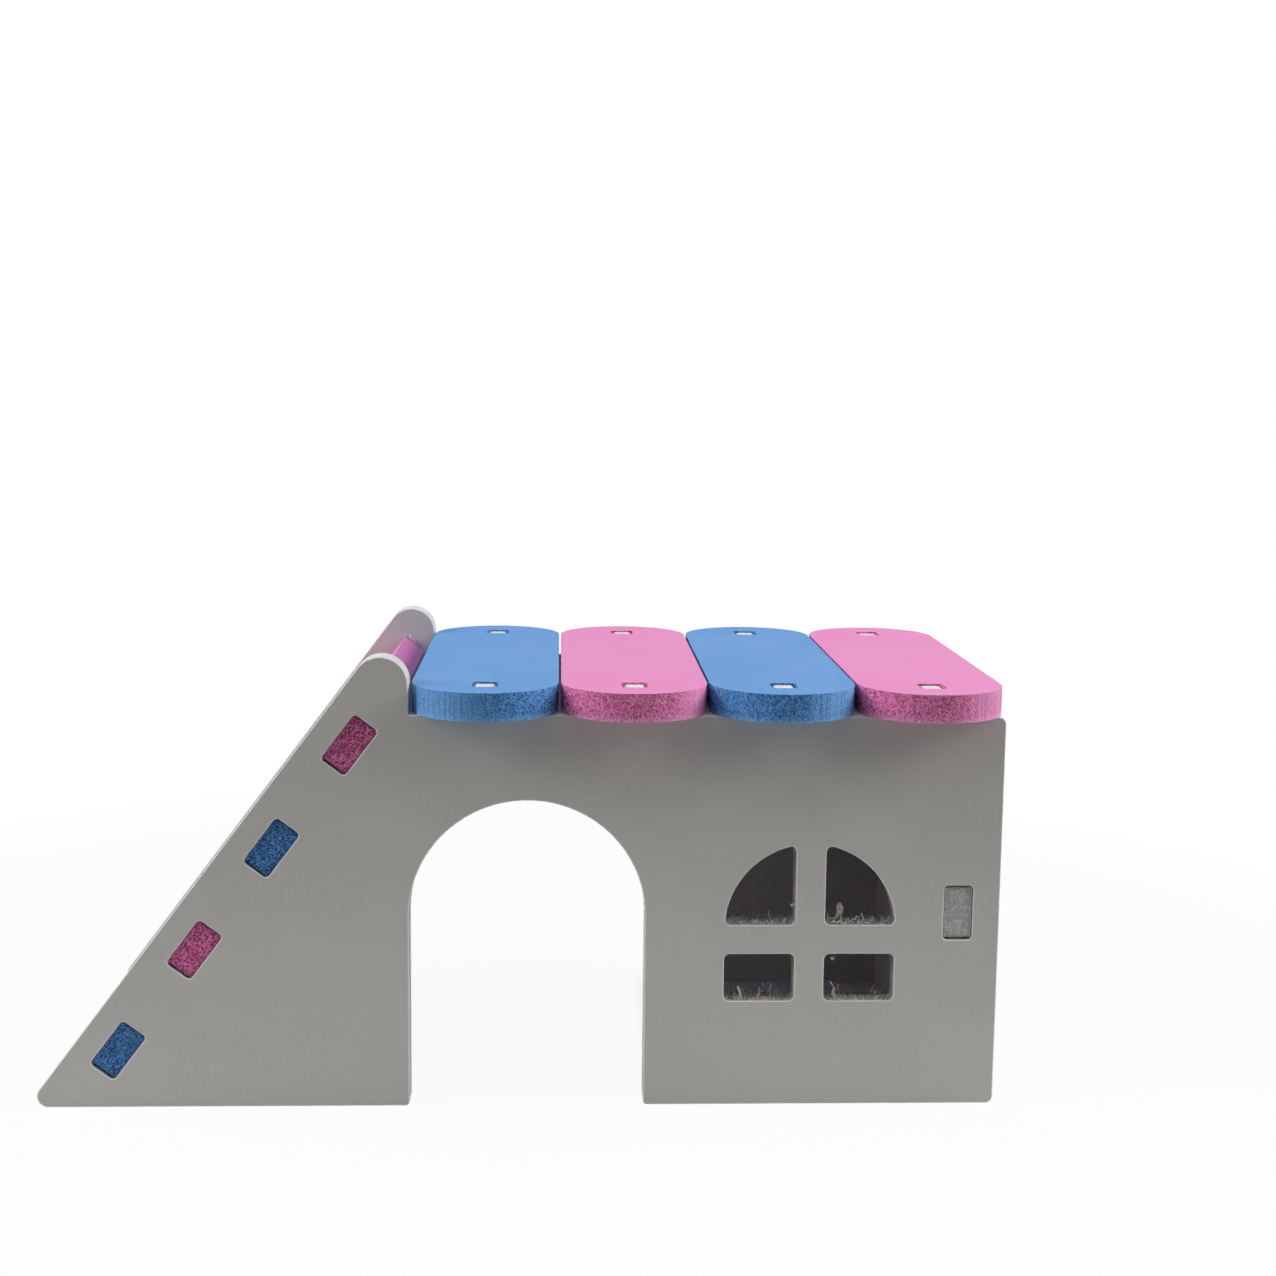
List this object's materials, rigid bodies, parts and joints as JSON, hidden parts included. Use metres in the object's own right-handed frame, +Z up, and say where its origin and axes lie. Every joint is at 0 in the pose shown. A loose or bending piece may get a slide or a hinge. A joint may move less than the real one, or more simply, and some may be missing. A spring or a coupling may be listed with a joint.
{
  "type": "hamster house",
  "caption": "Flat-board hamster house with arched doorways, an arched barred window, a ladder wall of sloping steps and a roof of loose round-ended slats.",
  "frame": {"origin": "middle of the whole house on the surface it stands on", "axes": "+X from the foot of the ladder wall to the end wall, +Y from the front side with the window to the rear side, +Z up"},
  "size_m": [0.2698, 0.1404, 0.128],
  "materials": {
    "panel_board": "stiff foamed sheet, smooth matte faces and slightly porous cut edges",
    "blue_board": "stiff foamed sheet coloured through, matte faces and porous cut edges",
    "pink_board": "stiff foamed sheet coloured through, matte faces and porous cut edges"
  },
  "bodies": {
    "house": {"front_side_panel": "panel_board", "rear_side_panel": "panel_board", "end_wall": "panel_board", "ladder_step_1": "blue_board", "ladder_step_2": "pink_board", "ladder_step_3": "blue_board", "ladder_step_4": "pink_board"},
    "slat_1": {"roof_slat_1": "blue_board"},
    "slat_2": {"roof_slat_2": "pink_board"},
    "slat_3": {"roof_slat_3": "blue_board"},
    "slat_4": {"roof_slat_4": "pink_board"}
  },
  "joints": [
    {"name": "slat_1_lift", "type": "slide", "parent": "house", "child": "slat_1", "axis": [0, 0, 1], "range_m": [0, 0.04]},
    {"name": "slat_2_lift", "type": "slide", "parent": "house", "child": "slat_2", "axis": [0, 0, 1], "range_m": [0, 0.04]},
    {"name": "slat_3_lift", "type": "slide", "parent": "house", "child": "slat_3", "axis": [0, 0, 1], "range_m": [0, 0.04]},
    {"name": "slat_4_lift", "type": "slide", "parent": "house", "child": "slat_4", "axis": [0, 0, 1], "range_m": [0, 0.04]}
  ]
}
